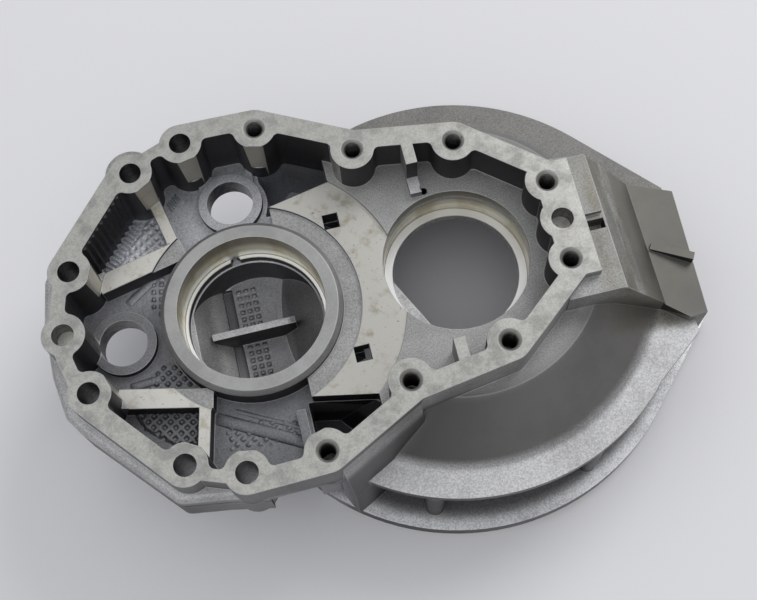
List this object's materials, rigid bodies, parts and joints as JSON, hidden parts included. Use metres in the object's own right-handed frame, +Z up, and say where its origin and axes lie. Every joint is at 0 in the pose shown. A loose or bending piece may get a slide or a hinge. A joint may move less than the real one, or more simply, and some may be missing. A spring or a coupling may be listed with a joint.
{
  "type": "gearbox housing",
  "caption": "Die-cast half housing of a gearbox: gear tray with gasket flange, two bearing seats side by side and a bell below one of them.",
  "frame": {"origin": "middle of the part's box, on the plane of the bell rim that it stands on", "axes": "+X from the tray towards the bell, along the line between the two shaft axes; +Z up, along both shaft axes and out of the gasket face; +Y away from the dome"},
  "size_m": [0.2832, 0.208, 0.086],
  "materials": {
    "cast_aluminium": "as-cast, with milled flange and turned seats"
  },
  "bodies": {
    "root": {"housing": "cast_aluminium"}
  },
  "joints": []
}
